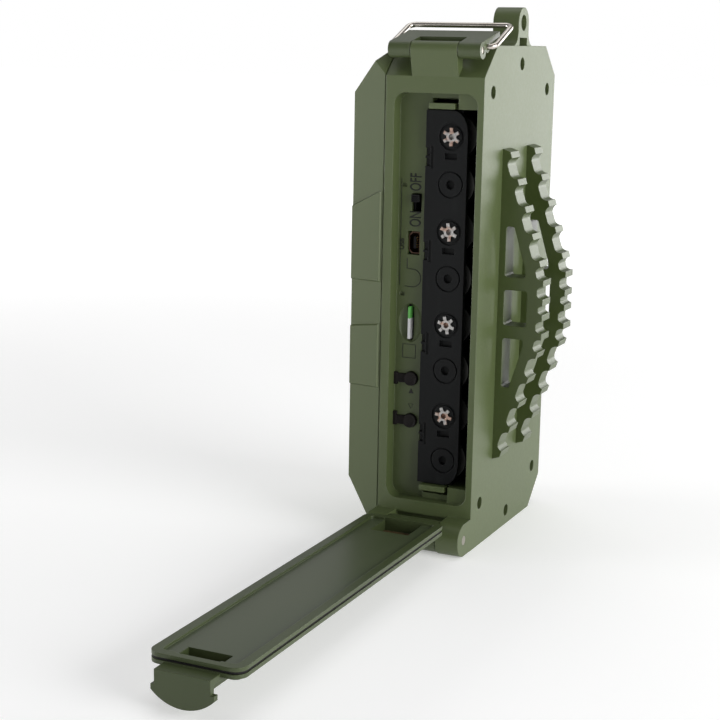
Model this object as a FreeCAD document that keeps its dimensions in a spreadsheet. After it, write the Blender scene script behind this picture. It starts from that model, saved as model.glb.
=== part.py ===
import FreeCAD, Part
import math
import os
import re
import Sketcher
from FreeCAD import Placement, Rotation, Vector

# An electronic game caller: a two-piece moulded case with a speaker in front, a side
# door over a battery magazine and a control strip, an over-centre wire latch, and two
# toothed rails on the back that bite into a trunk or take a strap.
# X points to the door side, Y to the back, Z up. The origin is under the case, on the
# face that it stands on. The door is open, level with the floor, and the latch is thrown
# back. Lengths are in millimetres.

doc = FreeCAD.newDocument("game_caller")

sizes = {
    # case
    "caseWide": 70, "caseTall": 166, "rearDeep": 34, "frontDeep": 12, "wall": 2.4,
    "cornerWide": 11, "cornerTall": 10, "ribWall": 1.6, "bossRadius": 3.4,
    "frontDraft": 1.8, "bevelTop": 15.7, "bevelBottom": 20, "cornerRise": 4.3,
    "sealWide": 1, "sealDeep": 0.8,
    # side opening, control strip and battery bay
    "openBelow": 15, "openAbove": 15.3, "openFront": 3, "openBack": 2.1, "openRound": 4,
    "recessDeep": 5.5, "bayBackWall": 3.4, "bayGap": 0.4,
    # battery magazine
    "cellRadius": 7.1, "cellLong": 50.2, "cellPitch": 15.4, "cellSetback": 12,
    "spine": 1.9, "plateWide": 14.5, "plateMargin": 1.3, "endPlate": 1.8,
    "plateProud": 2, "contactRoom": 1.1, "terminalThick": 0.4,
    "tabThick": 1.9, "tabGap": 1.5,
    # door and its hinge
    "hingeOut": 5.8, "hingeUp": 5.6, "lugRadius": 5.5, "hingePin": 1.5, "frontLug": 7,
    "rearLug": 8, "knuckleRadius": 5.2, "knuckleGap": 0.3, "doorReach": 8, "lip": 1.1,
    "sealSlot": 0.8, "lipInset": 1.1, "doorGap": 0.4, "doorSideGap": 0.6, "doorRim": 2.8,
    "panelSunk": 0.9, "doorBack": 2, "catchThick": 1.8, "catchOut": 2.9,
    # latch
    "leverIn": 0.5, "leverDown": 1.6, "barrelRadius": 2.75, "latchMid": 16.9,
    "knuckleHalf": 8, "barrelGap": 0.25, "leverHalf": 15.8, "leverLong": 15.2,
    "leverPin": 1.1, "wireRadius": 0.9, "bailHalf": 18, "bailLong": 17.6,
    "running": 0.05,
    # rails
    "railWide": 8, "railSpan": 32, "railMid": 80.2, "railPeak": 15.7,
    "finePitch": 6.4, "coarsePitch": 8.82, "toothDepth": 2.1,
    # hanging lug
    "lugHalf": 5, "lugHoleUp": 7.5, "lugHole": 2.6, "lugDeep": 9,
    # rear screws
    "screwIn": 2.6, "screwTop": 14.7, "screwHigh": 5.9, "screwLow": 14.8,
    "screwBase": 5.1, "screwHead": 1.95, "screwShank": 1.35, "headRoom": 0.15,
    "headSunk": 6.4, "biteCorner": 5.5, "biteTop": 2.6, "biteBase": 1.6, "biteRoom": 0.3,
    # controls
    "travelSwitch": 2.9,
    # speaker and front
    "speakerUp": 95, "flangeRadius": 28.5, "coneRadius": 24, "magnetRadius": 15,
}

sheet = doc.addObject("Spreadsheet::Sheet", "sizes")
for row, (alias, number) in enumerate(sizes.items(), 1):
    sheet.set(f"A{row}", alias)
    sheet.set(f"B{row}", str(number))
    sheet.setAlias(f"B{row}", alias)
doc.recompute()

# Places that several pieces share, as formulas of the sheet's cells.
sideX = "caseWide/2"
backY = "(rearDeep+frontDeep)/2"
partY = "(frontDeep-rearDeep)/2"
frontY = "(0-(rearDeep+frontDeep)/2)"
panelX = f"({sideX}-recessDeep)"
openLow = "openBelow"
openHigh = "(caseTall-openAbove)"
openY0 = f"({partY}+openFront)"
openY1 = f"({backY}-openBack)"
cellY = f"({backY}-cellSetback)"
stackHalf = "(cellPitch*3.5+cellRadius+plateMargin)"
magazineY0 = f"({cellY}-cellRadius-spine)"
magazineX1 = f"({panelX}+plateProud)"
tabY0, tabY1 = f"({magazineY0}+1.2)", f"({magazineY0}+10.7)"
cellX1 = f"({magazineX1}-endPlate-contactRoom)"
magazineX0 = f"({cellX1}-cellLong-contactRoom-endPlate)"
bayX0 = f"({magazineX0}-terminalThick-1.5)"
bayLow = f"(caseTall/2-{stackHalf}-bayGap)"
bayHigh = f"(caseTall/2+{stackHalf}+bayGap)"
hingeX = f"({sideX}+hingeOut)"
leverX = f"({sideX}-leverIn)"
leverZ = "(caseTall-leverDown)"
latchY = f"({backY}-latchMid)"
boardY = f"({magazineY0}-bayGap-ribWall-4.5)"
leverRaise = 8
leverHoleX, leverHoleZ = -4.1, 0.5
bailAngle = 157
cellCount = 8

nodes = []


class Values:
    """The sheet's numbers, for shapes that are set in code."""

    def __getattr__(self, alias):
        return float(sheet.get(alias))


v = Values()


def formula(text):
    def cell(word):
        return f"sizes.{word[0]}" if word[0] in sizes else word[0]
    return re.sub(r"[A-Za-z]\w*", cell, str(text))


def bind(thing, **formulas):
    for name, text in formulas.items():
        thing.setExpression(name.replace("_", "."), formula(text))
    return thing


def place(thing, corner, rotation=None):
    thing.Placement = Placement(Vector(), rotation or Rotation())
    for axis, text in zip("xyz", corner):
        thing.setExpression(f"Placement.Base.{axis}", formula(text))
    return thing


def block(name, low, high):
    thing = doc.addObject("Part::Box", name)
    for side, start, end in zip(("Length", "Width", "Height"), low, high):
        thing.setExpression(side, formula(f"({end})-({start})"))
    return place(thing, low)


turns = {
    "X": Rotation(Vector(0, 1, 0), 90),
    "Y": Rotation(Vector(1, 0, 0), -90),
    "Z": Rotation(),
}


def rod(name, axis, start, length, radius):
    thing = doc.addObject("Part::Cylinder", name)
    return place(bind(thing, Radius=radius, Height=length), start, turns[axis])


def taper(name, axis, start, length, radius, farRadius):
    thing = doc.addObject("Part::Cone", name)
    bind(thing, Radius1=radius, Radius2=farRadius, Height=length)
    return place(thing, start, turns[axis])


def join(name, things, refine=True):
    thing = doc.addObject("Part::MultiFuse", name)
    thing.Shapes = things
    thing.Refine = refine
    return thing


def cut(name, base, *tools):
    thing = doc.addObject("Part::Cut", name)
    thing.Base = base
    thing.Tool = tools[0] if len(tools) == 1 else join(name + "_tools", list(tools))
    return thing


def meet(name, one, other):
    thing = doc.addObject("Part::MultiCommon", name)
    thing.Shapes = [one, other]
    return thing


def group(name, things):
    thing = doc.addObject("Part::Compound", name)
    thing.Links = things
    return thing


def feature(name, shape):
    thing = doc.addObject("Part::Feature", name)
    thing.Shape = shape
    return thing


def node(thing, label):
    thing.Label = label
    nodes.append(thing)
    return thing


def padded(name, plane, corners, start, length):
    """A padded outline. It grows from start along +X or +Z, and along -Y on XZ."""
    body = doc.addObject("PartDesign::Body", name)
    sketch = body.newObject("Sketcher::SketchObject", name + "_outline")
    role = plane + "_Plane"
    support = next(f for f in body.Origin.OriginFeatures if f.Role == role)
    sketch.AttachmentSupport = (support, "")
    sketch.MapMode = "FlatFace"
    offset = f"-({start})" if plane == "XZ" else start
    sketch.setExpression("AttachmentOffset.Base.z", formula(offset))
    count = len(corners)
    ring = []
    for k in range(count):
        angle = 2 * math.pi * k / count
        ring.append(Vector(10 * math.cos(angle), 10 * math.sin(angle), 0))
    for k in range(count):
        sketch.addGeometry(Part.LineSegment(ring[k], ring[(k + 1) % count]), False)
    for k in range(count):
        nextEdge = (k + 1) % count
        sketch.addConstraint(Sketcher.Constraint("Coincident", k, 2, nextEdge, 1))
    for k, corner in enumerate(corners):
        for kind, text in zip(("DistanceX", "DistanceY"), corner):
            rule = Sketcher.Constraint(kind, -1, 1, k, 1, 1.0)
            index = sketch.addConstraint(rule)
            sketch.setExpression(f"Constraints[{index}]", formula(text))
    pad = body.newObject("PartDesign::Pad", name + "_pad")
    pad.Profile = sketch
    pad.setExpression("Length", formula(length))
    body.Tip = pad
    return body


def rounded(name, low, high, radius, axis="Z"):
    """A block whose four edges along one axis are rounded."""
    flat = [i for i in range(3) if "XYZ"[i] != axis]
    run = "XYZ".index(axis)
    parts = []
    for inset in flat:
        lo, hi = list(low), list(high)
        lo[inset] = f"({low[inset]})+{radius}"
        hi[inset] = f"({high[inset]})-{radius}"
        parts.append(block(f"{name}_{inset}", lo, hi))
    length = f"({high[run]})-({low[run]})"
    for first in (0, 1):
        for second in (0, 1):
            start = list(low)
            for i, far in zip(flat, (first, second)):
                edge = f"({high[i]})-{radius}" if far else f"({low[i]})+{radius}"
                start[i] = edge
            corner = f"{name}_corner{first}{second}"
            parts.append(rod(corner, axis, start, length, radius))
    return join(name, parts)


def octagon(inset, cutLess, squareCorner):
    x1 = f"({sideX}-{inset})"
    x0 = f"(0-{x1})"
    z0, z1 = inset, f"(caseTall-{inset})"
    across, up = f"(cornerWide-{cutLess})", f"(cornerTall-{cutLess})"
    corners = [
        (x0, f"{z0}+{up}"), (x0, f"{z1}-{up}"), (f"{x0}+{across}", z1),
        (f"{x1}-{across}", z1), (x1, f"{z1}-{up}"),
    ]
    if squareCorner:
        corners.append((x1, z0))
    else:
        corners += [(x1, f"{z0}+{up}"), (f"{x1}-{across}", z0)]
    return corners + [(f"{x0}+{across}", z0)]


# Rear screws, as X, Z and how far each bites into the front shell.
screwX = f"({panelX}-screwIn)"
screwPlaces = [
    (f"0-{screwX}", "caseTall-screwTop", "biteCorner"), (screwX, "caseTall-screwTop", "biteCorner"),
    ("0", "caseTall-screwHigh", "biteTop"), (f"0-{screwX}", "screwLow", "biteCorner"),
    (screwX, "screwLow", "biteCorner"), ("0", "screwBase", "biteBase"),
]

# Control strip places along Z, and their line in Y.
controlY = f"({openY0}+6.1)"
switchZ, usbZ, cardZ = "caseTall-51.1", "caseTall-64.55", "caseTall-91.4"
buttonPlaces = ["caseTall-110.4", "caseTall-124.9"]
cardY = f"({openY0}+5)"
usbY = f"({openY0}+5.65)"
switchY = f"({openY0}+6.5)"

# --- case -------------------------------------------------------------------------


def rearHousing():
    length = "rearDeep"
    outline = padded("housing_outer", "XZ", octagon("0", "0", True), backY, length)
    inner = padded(
        "housing_inner", "XZ", octagon("wall", "wall/2", False),
        f"{backY}-wall", "rearDeep-wall",
    )
    shell = cut("housing_shell", outline, inner)
    solids = [shell]
    innerX, innerY = f"{sideX}-wall/2", f"{backY}-wall/2"
    bayY0 = f"{magazineY0}-bayGap"
    solids.append(block(
        "bay_walls", (f"{bayX0}-ribWall", f"{bayY0}-ribWall", f"{bayLow}-ribWall"),
        (innerX, innerY, f"{bayHigh}+ribWall"),
    ))
    solids.append(block(
        "recess_walls",
        (f"{panelX}-ribWall", f"{openY0}-ribWall", f"{openLow}-ribWall"),
        (innerX, innerY, f"{openHigh}+ribWall"),
    ))
    for k, (x, z, _) in enumerate(screwPlaces):
        start = (x, partY, z)
        solids.append(rod(f"boss_{k}", "Y", start, "rearDeep-wall/2", "bossRadius"))
    for name, y, wide in (("front", partY, "frontLug"), ("rear", f"{backY}-rearLug", "rearLug")):
        solids.append(rod(f"lug_{name}", "Y", (hingeX, y, "hingeUp"), wide, "lugRadius"))
        solids.append(block(
            f"web_{name}", (innerX, y, "hingeUp-lugRadius"),
            (hingeX, f"{y}+{wide}", "hingeUp+lugRadius"),
        ))
    knee = "caseTall-cornerTall"
    solids.append(padded("knuckle_column", "XZ", [
        (f"{leverX}-barrelRadius", leverZ), (f"{leverX}-barrelRadius", f"{knee}+1"),
        (f"{sideX}-1", f"{knee}-1"), (sideX, knee),
        (f"{leverX}+barrelRadius-0.05", f"{leverZ}-0.5"), (leverX, leverZ),
    ], f"{latchY}+knuckleHalf", "knuckleHalf*2"))
    solids.append(rod(
        "knuckle_barrel", "Y", (leverX, f"{latchY}-knuckleHalf", leverZ),
        "knuckleHalf*2", "barrelRadius",
    ))
    for k, z in enumerate(standoffsSide):
        solids.append(rod(f"stand_{k}", "Y", (standX, boardY, z), "5", "2"))
    for k, (x, z) in enumerate(standoffsMain):
        solids.append(rod(f"post_{k}", "Y", (x, boardY, z), "5", "2.2"))
    bayFar = (f"{panelX}+0.1", f"{backY}-bayBackWall", bayHigh)
    cavities = [recessPocket(), block("bay", (bayX0, bayY0, bayLow), bayFar)]
    for name, z0, z1 in (
        ("top", bayHigh, f"{bayHigh}+tabThick+tabGap"), ("bottom", f"{bayLow}-tabThick-tabGap", bayLow)
    ):
        near, far = (f"{panelX}-4.5", tabY0, z0), (f"{panelX}+0.1", tabY1, z1)
        cavities.append(block(f"tab_slot_{name}", near, far))
    for k, (x, z, _) in enumerate(screwPlaces):
        headY = f"{backY}-headSunk"
        cavities.append(rod(f"head_hole_{k}", "Y", (x, headY, z), "headSunk+1", "screwHead+headRoom"))
        cavities.append(rod(
            f"shank_hole_{k}", "Y", (x, f"{partY}-1", z), f"({headY})-({partY})+2",
            "screwShank+headRoom",
        ))
    cavities.append(rod(
        "hinge_hole", "Y", (hingeX, f"{partY}+0.8", "hingeUp"), "rearDeep+1", "hingePin"
    ))
    cavities.append(rod(
        "lever_hole", "Y", (leverX, f"{latchY}-knuckleHalf-1", leverZ),
        "knuckleHalf*2+2", "leverPin",
    ))
    cavities.append(block(
        "hinge_relief",
        (f"{sideX}-1.4", f"{partY}+frontLug", "0-1"),
        (f"{sideX}+1", f"{backY}-rearLug", "10.35"),
    ))
    for k, z in enumerate(standoffsSide):
        cavities.append(rod(f"stand_hole_{k}", "Y", (standX, f"{boardY}-1", z), "4.5", "0.9"))
    for k, (x, z) in enumerate(standoffsMain):
        cavities.append(rod(f"post_hole_{k}", "Y", (x, f"{boardY}-1", z), "4.5", "0.9"))
    cavities += panelHoles()
    cavities.append(sealRing("seal_groove"))
    hollow = cut("housing_hollow", join("housing_solid", solids), *cavities)
    return node(join("rear_housing", [hollow] + snapTabs(), refine=False), "rear_housing")


def snapTabs():
    """The two spring lips that hold the magazine in, each beside a step of the recess."""
    y0, y1 = f"({tabY0}+0.3)", f"({tabY1}-0.3)"
    bury, reach = "0.3", f"{panelX}+3.9"
    pieces = []
    for name, low, high, rimLow, rimHigh in (
        ("top", bayHigh, f"{bayHigh}+tabThick", f"{bayHigh}+tabThick+tabGap", f"{openHigh}+{bury}"),
        ("bottom", f"{bayLow}-tabThick", bayLow, f"{openLow}-{bury}", f"{bayLow}-tabThick-tabGap"),
    ):
        pieces.append(block(f"tab_{name}", (f"{panelX}-5.5", y0, low), (reach, y1, high)))
        near, far = (f"{panelX}-0.5", y0, rimLow), (f"{panelX}+0.9", f"{tabY1}+0.8", rimHigh)
        pieces.append(block(f"tab_rim_{name}", near, far))
        stepLow, stepHigh = (low, rimHigh) if name == "top" else (rimLow, high)
        near = (f"{panelX}-0.5", f"{tabY1}+0.8", stepLow)
        far = (f"{panelX}+3.2", f"{openY1}+{bury}", stepHigh)
        pieces.append(block(f"step_{name}", near, far))
    return pieces


def recessPocket():
    return rounded(
        "recess", (panelX, openY0, openLow), (f"{sideX}+1", openY1, openHigh),
        "openRound", "X",
    )


def panelHoles():
    throughX0, throughX1 = f"{panelX}-ribWall-1", f"{panelX}+1"
    holes = [
        block("switch_window", (throughX0, f"{switchY}-1.7", f"{switchZ}-3"),
              (throughX1, f"{switchY}+1.7", f"{switchZ}+3")),
        block("usb_window", (throughX0, f"{usbY}-2.2", f"{usbZ}-3.9"),
              (throughX1, f"{usbY}+2.2", f"{usbZ}+3.9")),
        rounded("card_window", (throughX0, f"{cardY}-1.15", f"{cardZ}-6.2"),
                (throughX1, f"{cardY}+1.15", f"{cardZ}+6.2"), "1.1", "X"),
    ]
    scoop = doc.addObject("Part::Ellipsoid", "card_scoop")
    bind(scoop, Radius1="6.6", Radius2="1.1", Radius3="4.1")
    scoop.Angle1 = -90
    scoop.Angle2 = 90
    holes.append(place(scoop, (panelX, f"{cardY}+0.2", cardZ)))
    for k, z in enumerate(buttonPlaces):
        holes.append(rod(f"button_well_{k}", "X", (f"{panelX}-1.4", controlY, z), "2", "2.45"))
        holes.append(rod(f"plunger_hole_{k}", "X", (throughX0, controlY, z), "3", "1.4"))
    for k, z in enumerate(("caseTall-45.5", "caseTall-81.8")):
        holes.append(block(
            f"core_mark_{k}", (f"{panelX}-0.8", f"{openY0}+1.1", f"{z}-0.6"),
            (f"{panelX}+0.1", f"{openY0}+2.8", f"{z}+0.6"),
        ))
    return holes


def sealRing(name):
    start = f"{partY}+sealDeep"
    outer = padded(name + "_out", "XZ", octagon("0.7", "0.3", False), start, "sealDeep")
    inset = "0.7+sealWide"
    inner = padded(name + "_in", "XZ", octagon(f"({inset})", "0.7", False), start, "sealDeep")
    return cut(name, outer, inner)


def facetedShell(inset):
    """The front shell's outer planes, moved inwards: a drafted box with a top and a
    bottom bevel, and a three-cornered facet over each corner of the parting line."""
    half, tall = v.caseWide / 2, v.caseTall
    part, front = (v.frontDeep - v.rearDeep) / 2, -(v.frontDeep + v.rearDeep) / 2
    x0, x1 = half - inset, half - v.frontDraft - inset
    face = front + inset
    plan = [(-x0, part), (x0, part), (x1, face), (-x1, face)]
    sides = Part.Face(Part.makePolygon([Vector(x, y, 0) for x, y in plan + plan[:1]]))
    low = v.bevelBottom + inset * 0.3
    high = tall - v.bevelTop - inset * 0.3
    profile = [(part, inset), (part, tall - inset), (face, high), (face, low)]
    ends = Part.Face(Part.makePolygon([Vector(0, y, z) for y, z in profile + profile[:1]]))
    solid = sides.extrude(Vector(0, 0, tall))
    slab = ends.extrude(Vector(v.caseWide, 0, 0))
    slab.translate(Vector(-half, 0, 0))
    solid = solid.common(slab)
    reach = v.cornerRise - 0.3
    for left in (-1, 1):
        for top in (True, False):
            sign = 1 if top else -1
            edge = tall if top else 0
            level = Vector(left * (half - v.cornerWide), part, edge)
            corner = Vector(left * half, part, edge - sign * v.cornerTall)
            draft = v.frontDraft * reach / v.frontDeep
            crown = corner + Vector(-left * draft, -reach, sign * v.cornerRise)
            normal = (corner - level).cross(crown - level)
            if normal.dot(Vector(left, 0, sign)) < 0:
                normal = -normal
            normal.normalize()
            wedge = Part.makeBox(60, 60, 30, Vector(-30, -30, 0))
            wedge.Placement = Placement(level - normal * inset, Rotation(Vector(0, 0, 1), normal))
            solid = solid.cut(wedge)
    return solid


def frontShell():
    outer, inner = facetedShell(0), facetedShell(v.wall)
    shape = outer.cut(inner)
    part, front = (v.frontDeep - v.rearDeep) / 2, -(v.frontDeep + v.rearDeep) / 2
    face = front + v.wall
    along = Vector(0, 1, 0)
    side = v.caseWide / 2 - v.recessDeep - v.screwIn
    high, low = v.caseTall - v.screwTop, v.screwLow
    places = [(x, z, v.biteCorner) for x in (-side, side) for z in (low, high)]
    places += [(0, v.caseTall - v.screwHigh, v.biteTop), (0, v.screwBase, v.biteBase)]
    bosses = [
        Part.makeCylinder(v.bossRadius, part - front, Vector(x, front, z), along).common(outer)
        for x, z, _ in places
    ]
    shape = shape.fuse(bosses)
    up = v.speakerUp
    bezel = Part.makeCylinder(v.flangeRadius, 1.4, Vector(0, front - 0.8, up), along)
    bezel = bezel.cut(Part.makeCylinder(v.flangeRadius - 2.6, 3, Vector(0, front - 2, up), along))
    shape = shape.fuse(bezel)
    cuts = []
    for x, z, bite in places:
        deep = bite + v.biteRoom
        cuts.append(Part.makeCylinder(v.screwShank, deep + 0.1, Vector(x, part - deep, z), along))
    for ring in range(5):
        count = max(1, ring * 6)
        for k in range(count):
            angle = 2 * math.pi * k / count
            x, z = ring * 5 * math.cos(angle), up + ring * 5 * math.sin(angle)
            cuts.append(Part.makeCylinder(1.7, 5, Vector(x, front - 1, z), along))
    for k in range(4):
        angle = math.pi / 4 + math.pi / 2 * k
        x, z = 26.4 * math.cos(angle), up + 26.4 * math.sin(angle)
        cuts.append(Part.makeCylinder(0.9, 1.8, Vector(x, face - 1.8, z), along))
    cuts.append(Part.makeCylinder(1.5, 5, Vector(0, front - 1, v.caseTall - 25), along))
    for k in range(4):
        slot = Part.makeBox(30, 5, 2.2, Vector(-15, front - 1, 34 + 5.5 * k))
        cuts.append(slot.makeFillet(1, [e for e in slot.Edges if abs(e.tangentAt(0).y) > 0.9]))
    gap = Part.makeBox(v.caseWide, 0.4, v.caseTall, Vector(-v.caseWide / 2, part - 0.4, 0))
    cuts.append(gap.cut(facetedShell(0.4)))
    shape = shape.cut(cuts)
    for side in (-1, 1):
        for low, high, highFront in ((88, 119, 113.5), (52, 74.5, 73)):
            shape = shape.fuse(sideBand(side, low, high, highFront))
    return node(feature("front_shell", shape.removeSplitter()), "front_shell")


def sideBand(side, low, high, highFront):
    """A raised band on a drafted side of the front shell."""
    half = v.caseWide / 2
    part, front = (v.frontDeep - v.rearDeep) / 2, -(v.frontDeep + v.rearDeep) / 2
    slope = v.frontDraft / v.frontDeep
    y0, y1 = part - 0.6, front
    thick = 0.7
    points = [(y0, low), (y0, high), (y1, highFront), (y1, low)]

    def ring(rise, shrink):
        corners = []
        for k, (y, z) in enumerate(points):
            y += 0 if k > 1 else -shrink
            z += -shrink if k in (1, 2) else shrink
            x = half - slope * (part - y) + rise
            corners.append(Vector(side * x, y, z))
        return Part.makePolygon(corners + corners[:1])
    return Part.makeLoft([ring(-0.5, 0), ring(thick, 0.7)], True, True)


def housingScrews():
    screws = []
    for k, (x, z, bite) in enumerate(screwPlaces):
        head = rod(f"screw_head_{k}", "Y", (x, f"{backY}-headSunk", z), "2.2", "screwHead")
        shank = rod(
            f"screw_shank_{k}", "Y", (x, f"{partY}-{bite}", z),
            f"({backY}-headSunk)-({partY}-{bite})", "screwShank",
        )
        drive = doc.addObject("Part::Prism", f"screw_drive_{k}")
        drive.Polygon = 6
        bind(drive, Circumradius="screwHead*0.55", Height="2")
        place(drive, (x, f"{backY}-headSunk+1", z), turns["Y"])
        screws.append(cut(f"screw_{k}", join(f"screw_blank_{k}", [head, shank]), drive))
    return node(group("housing_screws", screws), "housing_screws")


def rails():
    profile = railProfile()
    wide, half = v.railWide, v.railSpan / 2
    for name, x in (("rail_left", -half), ("rail_right", half - wide)):
        shape = profile.copy()
        shape.translate(Vector(x, 0, 0))
        node(feature(name, shape), name)


def tipRise(z):
    """How far the tooth tips stand off the case at a height from the rail's middle."""
    slope = 0.3216
    plateau = v.finePitch * 1.9 + 3.2
    return min(v.railPeak, v.railPeak - 1.4 - slope * (abs(z) - plateau))


def railProfile():
    """One rail: an arch with a toothed edge and three openings, as a plate along X."""
    base, mid = (v.rearDeep + v.frontDeep) / 2, v.railMid
    land = 2.1
    centres = [2.6, 2.6 + v.finePitch, 2.6 + 2 * v.finePitch]
    centres += [centres[-1] + v.coarsePitch * k for k in range(1, 5)]
    centres = sorted([-c for c in centres] + centres)

    def at(rise, z):
        return Vector(0, base + rise, mid + z)
    tips = []
    for c in centres:
        slope = (tipRise(c + 1) - tipRise(c - 1)) / 2
        run = land / 2 / math.hypot(1, slope)
        tips.append((at(tipRise(c) - slope * run, c - run), at(tipRise(c) + slope * run, c + run)))
    foot = centres[-1] + 1.9
    edges = [Part.LineSegment(at(0, foot), at(0, -foot)).toShape()]
    edges.append(Part.LineSegment(at(0, -foot), tips[0][0]).toShape())
    for k, (start, end) in enumerate(tips):
        edges.append(Part.LineSegment(start, end).toShape())
        if k + 1 < len(tips):
            edges += toothGap(end, tips[k + 1][0])
    edges.append(Part.LineSegment(tips[-1][1], at(0, foot)).toShape())
    plate = Part.Face(Part.Wire(edges)).extrude(Vector(v.railWide, 0, 0))
    web, floor = 5.5, 2.2
    openings = [[(floor, -6), (floor, 6), (v.railPeak - web, 6), (v.railPeak - web, -6)]]
    near, far = 10.4, 27.2
    for sign in (1, -1):
        openings.append([
            (floor, sign * near), (floor, sign * far), (tipRise(far) - web, sign * far),
            (tipRise(near + 3) - web - 0.3, sign * (near + 3)),
            (tipRise(near + 3) - web, sign * near),
        ])
    for corners in openings:
        points = [at(rise, z) for rise, z in corners]
        hole = Part.Face(Part.makePolygon(points + points[:1])).extrude(Vector(v.railWide, 0, 0))
        alongX = [e for e in hole.Edges if abs(e.tangentAt(0).x) > 0.9]
        plate = plate.cut(hole.makeFillet(0.9, alongX))
    return plate


def toothGap(start, end):
    """A rounded gap between two tooth tips: two arcs and a floor."""
    along = end - start
    wide = along.Length
    along.normalize()
    inward = Vector(0, -along.z, along.y)
    if inward.y > 0:
        inward = -inward
    deep = min(v.toothDepth, wide * 0.48)

    def point(share, depth):
        return start + along * (wide * share) + inward * (deep * depth)
    edges = [Part.Arc(start, point(0.08, 0.62), point(0.3, 1)).toShape()]
    edges.append(Part.LineSegment(point(0.3, 1), point(0.7, 1)).toShape())
    edges.append(Part.Arc(point(0.7, 1), point(0.92, 0.62), end).toShape())
    return edges


def hangingLug():
    top = "caseTall"
    y0 = f"{backY}-lugDeep"
    flare = 4.5
    stem = block("lug_stem", ("0-lugHalf", y0, top), ("lugHalf", backY, f"{top}+lugHoleUp"))
    ring = rod("lug_ring", "Y", ("0", y0, f"{top}+lugHoleUp"), "lugDeep", "lugHalf")
    foot = block(
        "lug_foot", (f"0-lugHalf-{flare}", y0, top), (f"lugHalf+{flare}", backY, f"{top}+{flare}")
    )
    cuts = []
    for name, x in (("left", f"0-lugHalf-{flare}"), ("right", f"lugHalf+{flare}")):
        cuts.append(rod(f"lug_flare_{name}", "Y", (x, y0, f"{top}+{flare}"), "lugDeep", flare))
    foot = cut("lug_feet", foot, *cuts)
    hole = rod("lug_hole", "Y", ("0", y0, f"{top}+lugHoleUp"), "lugDeep", "lugHole")
    slot = block("lug_slot", ("0-3.7", y0, top), ("3.7", backY, f"{top}+2.6"))
    body = join("lug_solid", [stem, ring, foot])
    return node(cut("hanging_lug", body, hole, slot), "hanging_lug")


# --- speaker and boards -------------------------------------------------------------

standX = f"({panelX}-7.5)"
standoffsSide = ["caseTall-117.6", "caseTall-77.4"]
standoffsMain = [
    (f"{bayX0}+{across}", f"{bayLow}+{up}") for up in (6.7, 36.7) for across in (2.4, 36.4)
]


def speaker():
    face = f"({frontY}+wall)"

    def at(depth):
        return ("0", f"{face}+{depth}", "speakerUp")
    node(rod("grille_cloth", "Y", at(0), "0.4", "coneRadius+0.8"), "grille_cloth")
    flange = rod("flange", "Y", at(0), "1.8", "flangeRadius")
    skirt = taper("basket_skirt", "Y", at(1.8), "8", "coneRadius+0.6", "magnetRadius")
    bore = taper("basket_bore", "Y", at(1.8), "7", "coneRadius-0.2", "magnetRadius-0.8")
    mouth = rod("basket_mouth", "Y", at(0), "1.8", "coneRadius+0.8")
    neck = rod("basket_neck", "Y", at(8), "3", "6.5")
    holes = []
    for k in range(4):
        angle = math.pi / 4 + math.pi / 2 * k
        x, z = 26.4 * math.cos(angle), 26.4 * math.sin(angle)
        spot = (f"{x:.3f}", f"{face}-0.1", f"speakerUp+{z:.3f}")
        holes.append(rod(f"flange_hole_{k}", "Y", spot, "3", "0.9"))
    basket = cut("speaker_basket", join("basket", [flange, skirt]), bore, mouth, neck, *holes)
    node(basket, "speaker_basket")
    screws = []
    for k in range(4):
        angle = math.pi / 4 + math.pi / 2 * k
        x, z = 26.4 * math.cos(angle), 26.4 * math.sin(angle)
        shank = rod(
            f"flange_shank_{k}", "Y", (f"{x:.3f}", f"{face}-1.7", f"speakerUp+{z:.3f}"), "3.5", "0.9"
        )
        head = rod(
            f"flange_head_{k}", "Y", (f"{x:.3f}", f"{face}+1.8", f"speakerUp+{z:.3f}"), "1", "1.7"
        )
        screws.append(join(f"flange_screw_{k}", [shank, head]))
    node(group("speaker_screws", screws), "speaker_screws")
    roll = cut(
        "surround_ring", rod("surround_out", "Y", at(0.6), "1", "coneRadius+0.8"),
        rod("surround_in", "Y", at(0.6), "1", "coneRadius-4"),
    )
    node(roll, "speaker_surround")
    shell = taper("cone_out", "Y", at(1.6), "5.6", "coneRadius-3", "6")
    hollow = taper("cone_in", "Y", at(1.6), "5.2", "coneRadius-3.7", "6")
    node(cut("speaker_cone", shell, hollow), "speaker_cone")
    cap = doc.addObject("Part::Sphere", "dust_dome")
    bind(cap, Radius="8")
    place(cap, ("0", f"{face}+10.6", "speakerUp"))
    keep = rod("dust_keep", "Y", at(2), "4.7", "5.6")
    node(meet("dust_cap", cap, keep), "speaker_cap")
    coil = rod("coil", "Y", at(7.4), "3", "6")
    magnet = rod("magnet", "Y", at(9.8), "6.2", "magnetRadius")
    yoke = rod("yoke", "Y", at(16), "1.2", "magnetRadius-1.5")
    gap = rod("magnet_gap", "Y", at(9.7), "3", "6.8")
    node(join("speaker_motor", [cut("magnet_ring", magnet, gap), yoke]), "speaker_magnet")
    node(coil, "voice_coil")


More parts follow.
